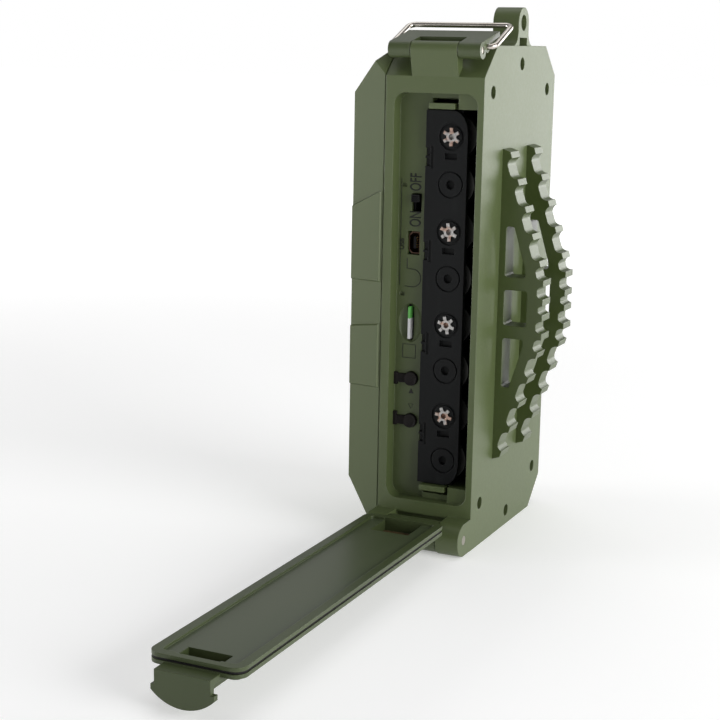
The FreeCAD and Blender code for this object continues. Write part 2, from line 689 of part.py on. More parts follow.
def boards():
    y1, y0 = boardY, f"({boardY}-1.4)"
    edges = (f"{panelX}-12", y0, "caseTall-130"), (f"{panelX}-2.1", y1, "caseTall-44")
    spots = [(standX, z) for z in standoffsSide]
    node(drilledBoard("side_board", *edges, spots), "side_board")
    edges = mainSpot(-0.6, y0, 3.7), mainSpot(39.4, y1, 39.7)
    node(drilledBoard("main_board", *edges, standoffsMain), "main_board")
    screws = []
    for k, (x, z) in enumerate(spots + standoffsMain):
        shank = rod(f"board_shank_{k}", "Y", (x, y0, z), "4.5", "0.9")
        head = rod(f"board_head_{k}", "Y", (x, f"{y0}-1.1", z), "1.1", "1.8")
        screws.append(join(f"board_screw_{k}", [shank, head]))
    node(group("board_screws", screws), "board_screws")
    pieces = [block("chip", mainSpot(9.4, f"{y0}-1.5", 13.7), mainSpot(18.4, y0, 22.7))]
    for k in range(5):
        low, high = mainSpot(9.4 + 2 * k, f"{y0}-5", 13.7), mainSpot(10.4 + 2 * k, f"{y0}-1.5", 22.7)
        pieces.append(block(f"fin_{k}", low, high))
    node(join("amplifier", pieces), "amplifier")
    cans = [
        rod(f"can_{k}", "Y", mainSpot(across, f"{y0}-7", 27.7), "7", "3.1")
        for k, across in enumerate((5.4, 30.4))
    ]
    node(group("capacitors", cans), "capacitors")
    radio = block("receiver", mainSpot(13.4, f"{y0}-2.2", 28.7), mainSpot(25.4, y0, 38.2))
    node(radio, "receiver_module")
    antennaX = f"0-{sideX}+wall"
    near, far = (antennaX, f"{partY}+6", "40"), (f"{antennaX}+0.4", f"{partY}+13", "120")
    node(block("strip", near, far), "antenna")
    led = rod("led_body", "Y", ("0", f"{frontY}+0.3", "caseTall-25"), "4.5", "1.5")
    rim = rod("led_rim", "Y", ("0", f"{frontY}+wall", "caseTall-25"), "1", "2")
    node(join("status_led", [led, rim]), "status_led")


def mainSpot(across, y, up):
    """A point by the main board, from the inner lower corner of the battery bay."""
    return (f"{bayX0}+{across:.4g}", y, f"{bayLow}+{up:.4g}")


def drilledBoard(name, low, high, spots):
    plate = block(name + "_blank", low, high)
    holes = []
    for k, (x, z) in enumerate(spots):
        holes.append(rod(f"{name}_hole_{k}", "Y", (x, f"{low[1]}-1", z), "4", "1.1"))
    return cut(name, plate, *holes)


def plugOutline(inset):
    """The socket's outline in Y and Z: two corners are cut off on the board's side."""
    low, high = f"{boardY}+{inset}", f"{usbY}+1.9-{inset}"
    half, nip = f"(3.65-{inset})", "1.1"
    return [
        (high, f"{usbZ}-{half}"), (high, f"{usbZ}+{half}"), (f"{low}+{nip}", f"{usbZ}+{half}"),
        (low, f"{usbZ}+{half}-{nip}"), (low, f"{usbZ}-{half}+{nip}"),
        (f"{low}+{nip}", f"{usbZ}-{half}"),
    ]


def controls():
    board = boardY
    y1 = f"{magazineY0}-bayGap-ribWall-0.05"
    case = block(
        "switch_blank", (f"{panelX}-8.5", board, f"{switchZ}-5.4"),
        (f"{panelX}-ribWall-0.3", y1, f"{switchZ}+5.4"),
    )
    slot = block(
        "switch_slot", (f"{panelX}-6.5", f"{switchY}-1", f"{switchZ}-3.2"),
        (panelX, f"{switchY}+1", f"{switchZ}+3.2"),
    )
    node(cut("switch_case", case, slot), "switch_case")
    node(switchKnob(), "switch_knob")
    usbX = f"({panelX}-8)"
    shell = padded("usb_out", "YZ", plugOutline("0"), usbX, "6.9")
    mouth = padded("usb_mouth", "YZ", plugOutline("0.35"), f"{usbX}+1", "7")
    node(cut("usb_shell", shell, mouth), "usb_shell")
    low, high = (f"{usbX}+1", f"{usbY}-0.5", f"{usbZ}-2"), (f"{panelX}-1.2", f"{usbY}+0.5", f"{usbZ}+2")
    node(block("usb_bar", low, high), "usb_tongue")
    socket = block(
        "socket_out", (f"{panelX}-15.5", board, f"{cardZ}-6.6"),
        (f"{panelX}-ribWall-0.1", f"{cardY}+1.1", f"{cardZ}+6.6"),
    )
    slit = block(
        "socket_slit", (f"{panelX}-14.5", f"{cardY}-0.42", f"{cardZ}-5.65"),
        (panelX, f"{cardY}+0.42", f"{cardZ}+5.65"),
    )
    node(cut("card_socket", socket, slit), "card_socket")
    node(rounded(
        "card", (f"{panelX}-14.1", f"{cardY}-0.35", f"{cardZ}-5.5"),
        (f"{panelX}+0.9", f"{cardY}+0.35", f"{cardZ}+5.5"), "0.5", "Y",
    ), "memory_card")
    switches, arms = [], []
    for k, z in enumerate(buttonPlaces):
        low = (f"{panelX}-7.9", board, f"{z}-2.3")
        body = block(f"tact_body_{k}", low, (f"{panelX}-4.9", f"{y1}-0.5", f"{z}+2.3"))
        tip = rod(f"tact_tip_{k}", "X", (f"{panelX}-4.9", controlY, z), "1.3", "0.9")
        switches.append(join(f"tact_{k}", [body, tip]))
        arms.append(buttonArm(k, z))
        name = ("button_up", "button_down")[k]
        node(button(name, z), name)
    node(group("tact_switches", switches), "tact_switches")
    node(group("button_arms", arms), "button_arms")


def switchKnob():
    """The slide's stem and its ribbed cap, at the OFF end of its travel."""
    z = f"({switchZ}+travelSwitch/2)"
    stem = block(
        "knob_stem", (f"{panelX}-6.1", f"{switchY}-0.9", f"{z}-1"),
        (f"{panelX}-0.2", f"{switchY}+0.9", f"{z}+1"),
    )
    cap = block(
        "knob_cap", (f"{panelX}-1", f"{switchY}-1.4", f"{z}-1.2"),
        (f"{panelX}+1.6", f"{switchY}+1.4", f"{z}+1.2"),
    )
    ridges = []
    for k, up in enumerate(("-0.85", "-0.18", "+0.5")):
        ridges.append(block(
            f"knob_groove_{k}", (f"{panelX}+1.25", f"{switchY}-1.5", f"{z}{up}"),
            (f"{panelX}+1.7", f"{switchY}+1.5", f"{z}{up}+0.35"),
        ))
    return cut("knob", join("knob_solid", [stem, cap]), *ridges)


def button(name, z):
    head = rod(f"{name}_head", "X", (f"{panelX}-0.6", controlY, z), "1.9", "2.3")
    stem = rod(f"{name}_stem", "X", (f"{panelX}-2.8", controlY, z), "2.4", "1.2")
    dish = doc.addObject("Part::Sphere", f"{name}_dish")
    bind(dish, Radius="6")
    place(dish, (f"{panelX}+6.95", controlY, z))
    return cut(name, join(f"{name}_solid", [head, stem]), dish)


def buttonArm(k, z):
    """The soft arm that runs from a button to the edge of the recess, with its pad."""
    low, high = (("2.3", "1.9"), ("1.9", "2.8"))[k]
    arm = block(f"arm_{k}", (panelX, openY0, f"{z}-1.5"), (f"{panelX}+0.8", controlY, f"{z}+1.5"))
    pad = block(
        f"arm_pad_{k}", (panelX, openY0, f"{z}-{low}"),
        (f"{panelX}+1", f"{openY0}+1.2", f"{z}+{high}"),
    )
    room = rod(f"arm_room_{k}", "X", (f"{panelX}-1", controlY, z), "3", "2.5")
    return cut(f"button_arm_{k}", join(f"arm_blank_{k}", [arm, pad]), room)


# --- battery magazine ---------------------------------------------------------------


def cellZ(k):
    return f"(caseTall/2+cellPitch*{3.5 - k})"


def magazine():
    low, high = f"(caseTall/2-{stackHalf})", f"(caseTall/2+{stackHalf})"
    far = (f"{magazineX1}-endPlate", f"{cellY}+3", high)
    cradle = block("cradle", (magazineX0, magazineY0, low), far)
    y1 = f"{magazineY0}+plateWide"
    curve = [(4.6, 0), (2.9, 0.7), (1.4, 2.2), (0.4, 4.4), (0, 7.2)]
    corners = [(f"{y1}-{across}", f"{low}+{up}") for across, up in curve]
    corners += [(f"{y1}-{across}", f"{high}-{up}") for across, up in reversed(curve)]
    corners = [(magazineY0, low)] + corners + [(magazineY0, high)]
    plates = []
    for name, x in (("front", f"{magazineX1}-endPlate"), ("rear", magazineX0)):
        plates.append(padded(f"plate_{name}", "YZ", corners, x, "endPlate"))
    bores, marks = [], []
    face = f"{magazineX1}-0.6"
    for k in range(cellCount):
        z = cellZ(k)
        spot = (f"{magazineX0}+endPlate", cellY, z)
        between = f"{magazineX1}-{magazineX0}-endPlate*2"
        bores.append(rod(f"cell_bore_{k}", "X", spot, between, "cellRadius+0.2"))
        ring = cut(
            f"ring_{k}", rod(f"ring_out_{k}", "X", (face, cellY, z), "1", "4.4"),
            rod(f"ring_in_{k}", "X", (face, cellY, z), "1", "3.9" if k % 2 else "3.5"),
        )
        marks.append(ring)
        radius = "1.5" if k % 2 else "1.25"
        eyeX = f"{magazineX1}-1.4" if k % 2 else f"{magazineX1}-endPlate-0.1"
        marks.append(rod(f"eye_{k}", "X", (eyeX, cellY, z), "3", radius))
    for k in range(0, cellCount, 2):
        mid = f"({cellZ(k)}+{cellZ(k + 1)})/2"
        marks.append(block(
            f"vent_{k}", (f"{magazineX1}-1.4", f"{cellY}-2.3", f"{mid}+0.4"),
            (f"{magazineX1}+1", f"{cellY}+2.1", f"{mid}+2.4"),
        ))
        for name, up, tall in (("low", "-2", "2.6"), ("high", "+1.3", "2.6")):
            marks.append(block(
                f"notch_{name}_{k}", (f"{magazineX1}-1.4", f"{magazineY0}-0.1", f"{mid}{up}"),
                (f"{magazineX1}+1", f"{magazineY0}+1.6", f"{mid}{up}+{tall}"),
            ))
        marks.append(block(
            f"notch_rim_{k}", (f"{magazineX1}-0.4", f"{magazineY0}+1.9", f"{mid}-2.6"),
            (f"{magazineX1}+1", f"{magazineY0}+2.9", f"{mid}+4.6"),
        ))
    body = join("magazine_solid", [cradle] + plates)
    rooms = []
    ends = ("rear", f"{magazineX0}+endPlate"), ("front", f"{magazineX1}-endPlate-contactRoom")
    for name, x in ends:
        rooms.append(block(
            f"contact_room_{name}", (x, f"{cellY}-2.7", cellZ(cellCount - 1)),
            (f"{x}+contactRoom", f"{cellY}+4", cellZ(0)),
        ))
    node(cut("magazine_frame", body, *bores, *marks, *rooms), "magazine_frame")
    node(group("contact_rivets", [rivet(k) for k in range(0, cellCount, 2)]), "contact_rivets")
    strips()
    for k in range(cellCount):
        cell(k)


def rivet(k):
    """A hollow rivet whose end is flared into six petals."""
    z = cellZ(k)
    back = f"{magazineX1}-endPlate-0.3"
    tube = rod(f"rivet_tube_{k}", "X", (back, cellY, z), "endPlate+0.75", "1.25")
    collar = taper(f"rivet_flare_{k}", "X", (magazineX1, cellY, z), "0.45", "1.25", "1.7")
    petals = []
    wide = 1.05
    for n in range(6):
        turn = Rotation(Vector(1, 0, 0), 60 * n + 3 * k)
        for part, long, thick in (("arm", "2.7", "0.4"), ("tip", "2.95", "0.65")):
            petal = doc.addObject("Part::Box", f"petal_{part}_{k}_{n}")
            start = 1.95 if part == "tip" else 1.0
            bind(petal, Length=thick, Width=str(wide), Height=f"{long}-{start}")
            shift = turn.multVec(Vector(0, -wide / 2, start))
            y, up = f"{cellY}+({shift.y:.4f})", f"{z}+({shift.z:.4f})"
            petals.append(place(petal, (magazineX1, y, up), turn))
    solid = join(f"rivet_solid_{k}", [tube, collar] + petals)
    bore = rod(f"rivet_bore_{k}", "X", (f"{magazineX1}-1.6", cellY, z), "4", "0.95")
    return cut(f"rivet_{k}", solid, bore)


def strips():
    """Bridges inside both end plates, and the terminals at the two ends of the row."""
    frontX = f"({magazineX1}-endPlate-terminalThick)"
    rearX = f"({magazineX0}+endPlate)"
    pieces = []
    for k in range(0, cellCount, 2):
        base = bridge(f"front_strip_{k}", frontX, k, k + 1)
        dome = rod(f"front_dome_{k}", "X", (f"{frontX}-0.6", cellY, cellZ(k + 1)), "0.6", "2")
        hole = rod(f"front_eye_{k}", "X", (f"{frontX}-1", cellY, cellZ(k)), "3", "1.25")
        pieces.append(cut(f"front_contact_{k}", join(f"front_bridge_{k}", [base, dome]), hole))
    for upper, lower in [(0, 0), (1, 2), (3, 4), (5, 6), (7, 7)]:
        parts = [bridge(f"rear_strip_{upper}", rearX, upper, lower)]
        for k in sorted({upper, lower}):
            spot = (f"{rearX}+terminalThick", cellY, cellZ(k))
            parts.append(rod(f"rear_dome_{k}", "X", spot, "0.6", "2"))
        pieces.append(join(f"rear_contact_{upper}", parts))
    node(group("contact_strips", pieces), "contact_strips")
    ends, pads = [], []
    for k in (0, cellCount - 1):
        spot = (f"{magazineX0}-terminalThick", cellY, cellZ(k))
        ends.append(rod(f"terminal_{k}", "X", spot, "terminalThick", "3"))
        pads.append(rod(f"bay_pad_{k}", "X", (bayX0, cellY, cellZ(k)), "1.3", "2.4"))
    node(group("magazine_terminals", ends), "magazine_terminals")
    node(group("bay_contacts", pads), "bay_contacts")


def bridge(name, x, upper, lower):
    near = (x, f"{cellY}-2.5", f"{cellZ(lower)}-3")
    far = (f"{x}+terminalThick", f"{cellY}+2.5", f"{cellZ(upper)}+3")
    return block(name, near, far)


def cell(k):
    """An AA cell. Every second cell has its button end towards the door."""
    z = cellZ(k)
    forward = k % 2 == 0
    nub, inset = 1.3, 0.05
    x0 = f"{cellX1}-cellLong+{inset if forward else nub}"
    can = rod(f"can_body_{k}", "X", (x0, cellY, z), f"cellLong-{nub}-{inset * 2}", "cellRadius")
    nubX = f"{cellX1}-{nub}-{inset}" if forward else f"{cellX1}-cellLong+{inset}"
    button = rod(f"nub_{k}", "X", (nubX, cellY, z), nub, "2.6")
    node(join(f"cell_{k + 1}", [can, button]), f"cell_{k + 1}")


# --- door -----------------------------------------------------------------------------


def door():
    x0 = f"({hingeX}+{openLow}-hingeUp+doorGap)"
    x1 = f"({hingeX}+{openHigh}-hingeUp-doorGap)"
    y0, y1 = f"({openY0}+doorSideGap)", f"({openY1}-doorSideGap+0.1)"
    face = "(hingeUp+doorReach)"
    neckTop = f"({face}-lip)"
    neckLow = f"({neckTop}-sealSlot)"
    outer = f"({neckLow}-lip)"
    corner = "openRound-doorGap"

    def slab(name, inset, low, high):
        lo = (f"{x0}+{inset}", f"{y0}+{inset}", low)
        hi = (f"{x1}-{inset}", f"{y1}-{inset}", high)
        return rounded(name, lo, hi, f"({corner}-{inset})")
    lips = [slab("lip_inner", "0", neckTop, face), slab("lip_outer", "0", outer, neckLow)]
    neck = slab("neck", "lipInset", neckLow, neckTop)
    armY0, armY1 = f"({partY}+frontLug+knuckleGap)", f"({backY}-rearLug-knuckleGap)"
    start = (hingeX, armY0, "hingeUp")
    knuckle = rod("door_knuckle", "Y", start, f"{armY1}-{armY0}", "knuckleRadius")
    arm = padded("door_arm", "XZ", [
        (hingeX, "hingeUp+0.5"), (f"{x0}+1", f"{outer}-1.6"), (f"{x0}+6", outer),
        (f"{x0}+6", f"{outer}+0.5"), (x0, f"{outer}+0.8"), (hingeX, "hingeUp+5.2"),
    ], armY1, f"{armY1}-{armY0}")
    panel = rounded(
        "outer_panel", (f"{x0}+1", f"{y0}+3", f"{outer}-doorBack"),
        (f"{x1}-4", f"{y1}-3", f"{outer}+0.2"), "2",
    )
    catchX1 = f"({x1}+catchOut+catchThick)"
    ledge = block(
        "catch_ledge", (f"{x1}-3", f"{latchY}-8.2", f"{outer}-1"),
        (catchX1, f"{latchY}+8.2", f"{neckLow}-0.3"),
    )
    bracket = block(
        "catch_bracket", (f"{x1}-9", f"{latchY}-6.6", f"{outer}-3.4"),
        (f"{catchX1}-0.5", f"{latchY}+6.6", f"{outer}+0.5"),
    )
    neckPlate = block(
        "catch_neck", (f"{catchX1}-catchThick", f"{latchY}-8.2", "5"),
        (catchX1, f"{latchY}+8.2", outer),
    )
    wide = block(
        "catch_wide", (f"{catchX1}-catchThick", f"{latchY}-9.25", "1"),
        (catchX1, f"{latchY}+9.25", f"{outer}-3.3"),
    )
    bow = rod("catch_bow", "X", (f"{catchX1}-catchThick-1", latchY, "15"), "catchThick+2", "13")
    body = join("door_solid", lips + [
        neck, knuckle, arm, panel, ledge, bracket, neckPlate, meet("catch_foot", wide, bow),
    ])
    sunk = rounded(
        "panel_sunk", (f"{x0}+doorRim", f"{y0}+doorRim", f"{face}-panelSunk"),
        (f"{x1}-doorRim", f"{y1}-doorRim", f"{face}+1"), "1.2",
    )
    reach = f"({hingeX}-hingeUp)"
    front, rear = f"({tabY0}-3.3)", f"({tabY1}+0.4)"
    top, low, floor = f"{reach}+{bayHigh}", f"{reach}+{bayLow}", f"{face}-4.4"
    lowEnd = f"{low}-tabThick-0.5"
    pockets = [
        block("tab_pocket", (f"{top}-4.3", front, floor), (f"{top}+tabThick+0.5", rear, f"{face}+1")),
        padded("tab_ramp", "XZ", [
            (lowEnd, f"{face}+1"), (f"{low}+9.2", f"{face}+1"),
            (f"{low}+9.2", f"{face}-panelSunk-0.2"), (f"{low}+5.5", floor), (lowEnd, floor),
        ], rear, f"{rear}-{front}"),
    ]
    start = (hingeX, f"{armY0}-1", "hingeUp")
    bore = rod("knuckle_bore", "Y", start, "rearDeep", "hingePin+running")
    node(cut("door_panel", body, sunk, bore, *pockets), "door_panel")
    ring = cut(
        "seal_loop", slab("seal_out", "0.35", neckLow, neckTop),
        slab("seal_in", "lipInset", neckLow, neckTop),
    )
    node(ring, "door_seal")
    pin = rod("pin", "Y", (hingeX, f"{partY}+0.8", "hingeUp"), "rearDeep-0.8", "hingePin")
    node(pin, "hinge_pin")


# --- latch ----------------------------------------------------------------------------


def latch():
    """The lever is drawn closed about its own axis, then raised to where it rests."""
    inner = "knuckleHalf+barrelGap"
    solids, holes = [], []
    for name, y in (("front", "0-leverHalf"), ("rear", inner)):
        start = ("0", y, "0")
        solids.append(rod(f"barrel_{name}", "Y", start, f"leverHalf-({inner})", "barrelRadius"))
    for name, y in (("front", "0-leverHalf"), ("rear", "leverHalf-3")):
        solids.append(rod(f"ear_{name}", "Y", (leverHoleX, y, leverHoleZ), "3", "1.9"))
        start = (leverHoleX, f"{y}-0.1", leverHoleZ)
        holes.append(rod(f"ear_hole_{name}", "Y", start, "3.2", "wireRadius+running"))
    solids.append(padded("lever_plate", "XZ", [
        ("0.8", "barrelRadius-0.15"), ("0-leverLong", "4.05"), ("0-leverLong-0.2", "2.4"),
        ("0-2.5", "0.9"), ("0.5", "0.5"),
    ], "leverHalf", "leverHalf*2"))
    holes.append(block("lever_notch", ("0-6.2", f"0-({inner})", "0-4"), ("5", inner, "6")))
    start = ("0", "0-leverHalf-1", "0")
    holes.append(rod("lever_bore", "Y", start, "leverHalf*2+2", "leverPin+running"))
    lever = cut("lever_at_axis", join("lever_solid", solids), *holes)
    raised = group("latch_lever", [lever])
    place(raised, (leverX, latchY, leverZ), Rotation(Vector(0, 1, 0), leverRaise))
    node(raised, "latch_lever")
    start = (leverX, f"{latchY}-leverHalf+0.2", leverZ)
    node(rod("lever_pin", "Y", start, "leverHalf*2-0.4", "leverPin"), "lever_pin")
    node(wireBail(), "wire_bail")


def wireBail():
    half, long, tuck = v.bailHalf, v.bailLong, v.leverHalf - 2.7
    bend = 2.4
    diagonal = bend * (1 - math.sqrt(0.5))
    edges = []
    for side in (-1, 1):
        corner, far = Vector(0, side * half, 0), Vector(long, side * half, 0)
        start = Vector(0, side * tuck, 0)
        out, along = Vector(0, -side * bend, 0), Vector(bend, 0, 0)
        first = [corner + out, corner + Vector(diagonal, -side * diagonal, 0), corner + along]
        last = [far - along, far - Vector(diagonal, side * diagonal, 0), far + out]
        run = [
            Part.LineSegment(start, first[0]).toShape(), Part.Arc(*first).toShape(),
            Part.LineSegment(first[2], last[0]).toShape(), Part.Arc(*last).toShape(),
        ]
        edges.append(run)
    bar = Part.LineSegment(Vector(long, -half + bend, 0), Vector(long, half - bend, 0)).toShape()
    path = Part.Wire(edges[0] + [bar] + edges[1][::-1])
    ring = Part.Circle(Vector(0, -tuck, 0), Vector(0, 1, 0), v.wireRadius).toShape()
    shape = path.makePipeShell([Part.Wire([ring])], True, False)
    bail = feature("wire_bail", shape)
    raise_ = Rotation(Vector(0, 1, 0), leverRaise)
    y = (v.rearDeep + v.frontDeep) / 2 - v.latchMid
    axis = Vector(v.caseWide / 2 - v.leverIn, y, v.caseTall - v.leverDown)
    pivot = axis + raise_.multVec(Vector(leverHoleX, 0, leverHoleZ))
    bail.Placement = Placement(pivot, Rotation(Vector(0, 1, 0), -bailAngle))
    return bail


rearHousing()
frontShell()
node(sealRing("case_seal"), "case_seal")
housingScrews()
rails()
hangingLug()
speaker()
boards()
controls()
magazine()
door()
latch()
doc.recompute()

faults = [o.Name for o in doc.Objects if {"Invalid", "Error"} & set(o.State)]
for piece in nodes:
    if piece.Shape.isNull() or not piece.Shape.isValid() or not piece.Shape.Solids:
        faults.append(piece.Label)
if faults:
    raise RuntimeError("these pieces failed: " + ", ".join(faults))

os.makedirs("parts", exist_ok=True)
for piece in nodes:
    piece.Shape.exportStep(f"parts/{piece.Label}.step")
    print(piece.Label, len(piece.Shape.Solids), round(piece.Shape.Volume, 1))
print(len(nodes), "nodes")
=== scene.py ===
import math
import bmesh
import bpy
from mathutils import Matrix, Vector


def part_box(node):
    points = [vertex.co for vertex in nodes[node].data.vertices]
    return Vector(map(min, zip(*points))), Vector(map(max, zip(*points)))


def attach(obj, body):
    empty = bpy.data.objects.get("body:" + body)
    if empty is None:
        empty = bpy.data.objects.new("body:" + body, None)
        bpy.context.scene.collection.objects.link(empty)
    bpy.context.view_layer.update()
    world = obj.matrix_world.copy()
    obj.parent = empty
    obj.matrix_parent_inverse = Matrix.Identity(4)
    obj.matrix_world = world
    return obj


# The looks of a game caller: moulded olive case, toothed rails, open side door, wire latch
# and battery magazine. Everything is in metres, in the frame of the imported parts.

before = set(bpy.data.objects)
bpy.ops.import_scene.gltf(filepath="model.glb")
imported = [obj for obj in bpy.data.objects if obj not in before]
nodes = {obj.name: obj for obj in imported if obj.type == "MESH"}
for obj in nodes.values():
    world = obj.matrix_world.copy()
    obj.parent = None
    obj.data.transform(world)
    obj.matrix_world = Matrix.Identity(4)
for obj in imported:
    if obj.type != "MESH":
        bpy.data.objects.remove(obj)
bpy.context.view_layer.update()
mm = 0.001


def srgb(red, green, blue):
    def linear(value):
        value /= 255
        return value / 12.92 if value < 0.04045 else ((value + 0.055) / 1.055) ** 2.4
    return (linear(red), linear(green), linear(blue), 1)


class Wire:
    # a shader socket that can stand in a sum; numbers and other wires both work
    def __init__(self, look, socket):
        self.look = look
        self.socket = socket

    def maths(self, operation, *values):
        return self.look.add("Math", {"operation": operation}, dict(enumerate(values)))

    def __add__(self, other):
        return self.maths("ADD", self, other)

    def __radd__(self, other):
        return self.maths("ADD", other, self)

    def __sub__(self, other):
        return self.maths("SUBTRACT", self, other)

    def __rsub__(self, other):
        return self.maths("SUBTRACT", other, self)

    def __mul__(self, other):
        return self.maths("MULTIPLY", self, other)

    def __rmul__(self, other):
        return self.maths("MULTIPLY", other, self)

    def wave(self):
        return self.maths("SINE", self)

    def size(self):
        return self.maths("ABSOLUTE", self)

    def step(self, low, high):
        # 0 below low, 1 above high, smooth between
        ends = {"Value": self, "From Min": low, "From Max": high}
        return self.look.add("MapRange", {"interpolation_type": "SMOOTHSTEP"}, ends)


class Look:
    # one material: a principled shader and the nodes that feed it
    def __init__(self, name, **uniform):
        self.material = bpy.data.materials.new(name)
        self.material.use_nodes = True
        self.tree = self.material.node_tree
        self.tree.nodes.clear()
        output = self.tree.nodes.new("ShaderNodeOutputMaterial")
        self.shader = self.tree.nodes.new("ShaderNodeBsdfPrincipled")
        self.tree.links.new(self.shader.outputs[0], output.inputs["Surface"])
        for name, value in uniform.items():
            self.shader.inputs[name.replace("_", " ")].default_value = value

    def feed(self, socket, value):
        if isinstance(value, Wire):
            self.tree.links.new(value.socket, socket)
        else:
            socket.default_value = value

    def add(self, kind, settings, sockets, out=0):
        node = self.tree.nodes.new("ShaderNode" + kind)
        for name, value in settings.items():
            setattr(node, name, value)
        for name, value in sockets.items():
            self.feed(node.inputs[name], value)
        return Wire(self, node.outputs[out])

    def set(self, **sockets):
        for name, value in sockets.items():
            self.feed(self.shader.inputs[name.replace("_", " ")], value)

    def place(self):
        return self.add("TexCoord", {}, {}, "Object")

    def along(self, axis):
        return self.add("SeparateXYZ", {}, {0: self.place()}, axis)

    def noise(self, scale, detail=2, stretch=(1, 1, 1)):
        # scale counts features in a metre; stretch squeezes them along each axis
        point = self.add("Mapping", {}, {"Vector": self.place(), "Scale": stretch})
        values = {"Vector": point, "Scale": scale, "Detail": detail}
        return self.add("TexNoise", {}, values)

    def cells(self, scale):
        return self.add("TexVoronoi", {}, {"Vector": self.place(), "Scale": scale}, "Distance")

    def mix(self, factor, one, other):
        # sockets 6 and 7 of a mix node are its colours, and 2 is the colour it gives
        return self.add("Mix", {"data_type": "RGBA"}, {0: factor, 6: one, 7: other}, 2)

    def softEdges(self, radius):
        # the surface direction, rounded over near a corner
        return self.add("Bevel", {"samples": 4}, {"Radius": radius})

    def edges(self, radius):
        # 1 on a corner that faces out or in, 0 on a flat
        flat = self.add("NewGeometry", {}, {}, "Normal")
        values = {0: self.softEdges(radius), 1: flat}
        same = self.add("VectorMath", {"operation": "DOT_PRODUCT"}, values, "Value")
        return (1 - same).step(0.0, 0.12)

    def facing(self, axis):
        normal = self.add("NewGeometry", {}, {}, "Normal")
        return self.add("SeparateXYZ", {}, {0: normal}, axis)

    def bump(self, height, distance, edge=None):
        values = {"Height": height, "Distance": distance, "Strength": 1}
        if edge:
            values["Normal"] = self.softEdges(edge)
        return self.add("Bump", {}, values)


# moulded olive: colours, roughness, grain in features a metre, grain height, corner radius
oliveCase = {
    "colour": srgb(75, 86, 51), "pale": srgb(96, 106, 74), "deep": srgb(62, 74, 41),
    "rough": 0.46, "grain": 2600, "grainHeight": 0.02 * mm, "edge": 0.35 * mm,
}
oliveRail = {
    "colour": srgb(63, 75, 35), "pale": srgb(96, 108, 66), "deep": srgb(50, 61, 27),
    "rough": 0.36, "grain": 2400, "grainHeight": 0.012 * mm, "edge": 0.3 * mm,
}
oliveDoor = {
    "colour": srgb(64, 74, 44), "pale": srgb(86, 96, 64), "deep": srgb(52, 62, 35),
    "rough": 0.4, "grain": 2200, "grainHeight": 0.02 * mm, "edge": 0.3 * mm,
}


def olivePlastic(name, finish):
    # satin moulding: flow marks, fine spark grain, painted highlights on the corners in patches,
    # pale specks
    look = Look(name, IOR=1.5)
    flow = look.noise(14, 3, (1, 1, 0.35))
    speck = look.noise(900, 2)
    grain = look.noise(finish["grain"], 1)
    # painted highlight: corners, in noise patches, lightened towards the pale colour and made
    # smoother
    paintedCornerHighlight = look.edges(finish["edge"]) * look.noise(160, 3).step(0.35, 0.6)
    colour = look.mix(flow.step(0.3, 0.7), finish["deep"], finish["colour"])
    colour = look.mix(0.25, finish["colour"], colour)
    colour = look.mix(paintedCornerHighlight * 0.45, colour, finish["pale"])
    colour = look.mix(speck.step(0.62, 0.8) * 0.12, colour, finish["pale"])
    rough = finish["rough"] + (flow - 0.5) * 0.12 + (speck - 0.5) * 0.1 - paintedCornerHighlight * 0.1
    height = grain * 0.7 + speck * 0.6
    normal = look.bump(height, finish["grainHeight"], finish["edge"])
    look.set(Base_Color=colour, Roughness=rough, Normal=normal)
    return look


# the paler grey here paints highlights on the corners
blackMagazine = {
    "colour": srgb(9, 11, 12), "rough": 0.46, "scuffed": srgb(36, 38, 38),
    "wearAndCornerHighlight": srgb(48, 50, 50), "deep": srgb(8, 8, 8), "gloss": 0.22,
}
blackKnob = dict(blackMagazine, colour=srgb(16, 15, 17), rough=0.4)


def blackPlastic(name, finish):
    # dark moulding: long scuffs, painted highlights on the corners, cloudy depth
    look = Look(name, IOR=1.45, Specular_IOR_Level=finish["gloss"])
    scuff = look.noise(420, 4, (1, 1, 0.15)).step(0.58, 0.75)
    # painted highlight: all corners lightened towards the paler grey
    wearAndCornerHighlight = look.edges(0.2 * mm)
    tone = look.mix(scuff * 0.2, finish["colour"], finish["scuffed"])
    tone = look.mix(wearAndCornerHighlight * 0.35, tone, finish["wearAndCornerHighlight"])
    tone = look.mix(look.noise(60, 2).step(0.4, 0.7) * 0.3, tone, finish["deep"])
    rough = finish["rough"] + (look.noise(200, 3) - 0.5) * 0.2 + scuff * 0.1
    normal = look.bump(look.noise(1800, 2), 0.012 * mm, 0.25 * mm)
    look.set(Base_Color=tone, Roughness=rough, Normal=normal)
    return look


sealRubber = {"colour": srgb(20, 18, 18), "dust": srgb(44, 42, 40), "rough": 0.62}
buttonRubber = dict(sealRubber, colour=srgb(22, 18, 18))


def blackRubber(name, finish):
    # matt rubber with a little pale dust
    look = Look(name, IOR=1.45, Specular_IOR_Level=0.3)
    dust = look.noise(500, 4).step(0.5, 0.75)
    tone = look.mix(dust * 0.25, finish["colour"], finish["dust"])
    normal = look.bump(look.noise(3000, 2), 0.02 * mm, 0.25 * mm)
    look.set(Base_Color=tone, Roughness=finish["rough"] + dust * 0.2, Normal=normal)
    return look


# bright metals: colour, the way the fine lines are stretched, roughness
metals = {
    "brightWire": (srgb(206, 200, 192), (1, 1, 1), 0.14),
    "turnedSteel": (srgb(158, 152, 144), (1, 8, 1), 0.26),
    "platedContact": (srgb(206, 202, 190), (3, 1, 1), 0.22),
    "agedShell": (srgb(84, 66, 56), (2, 1, 1), 0.3),
    "finnedAluminium": (srgb(170, 170, 174), (1, 1, 4), 0.35),
    "woundCopper": (srgb(196, 122, 70), (1, 12, 1), 0.3),
    "pinGold": (srgb(214, 176, 110), (1, 1, 1), 0.25),
}
tarnish = srgb(150, 138, 122)


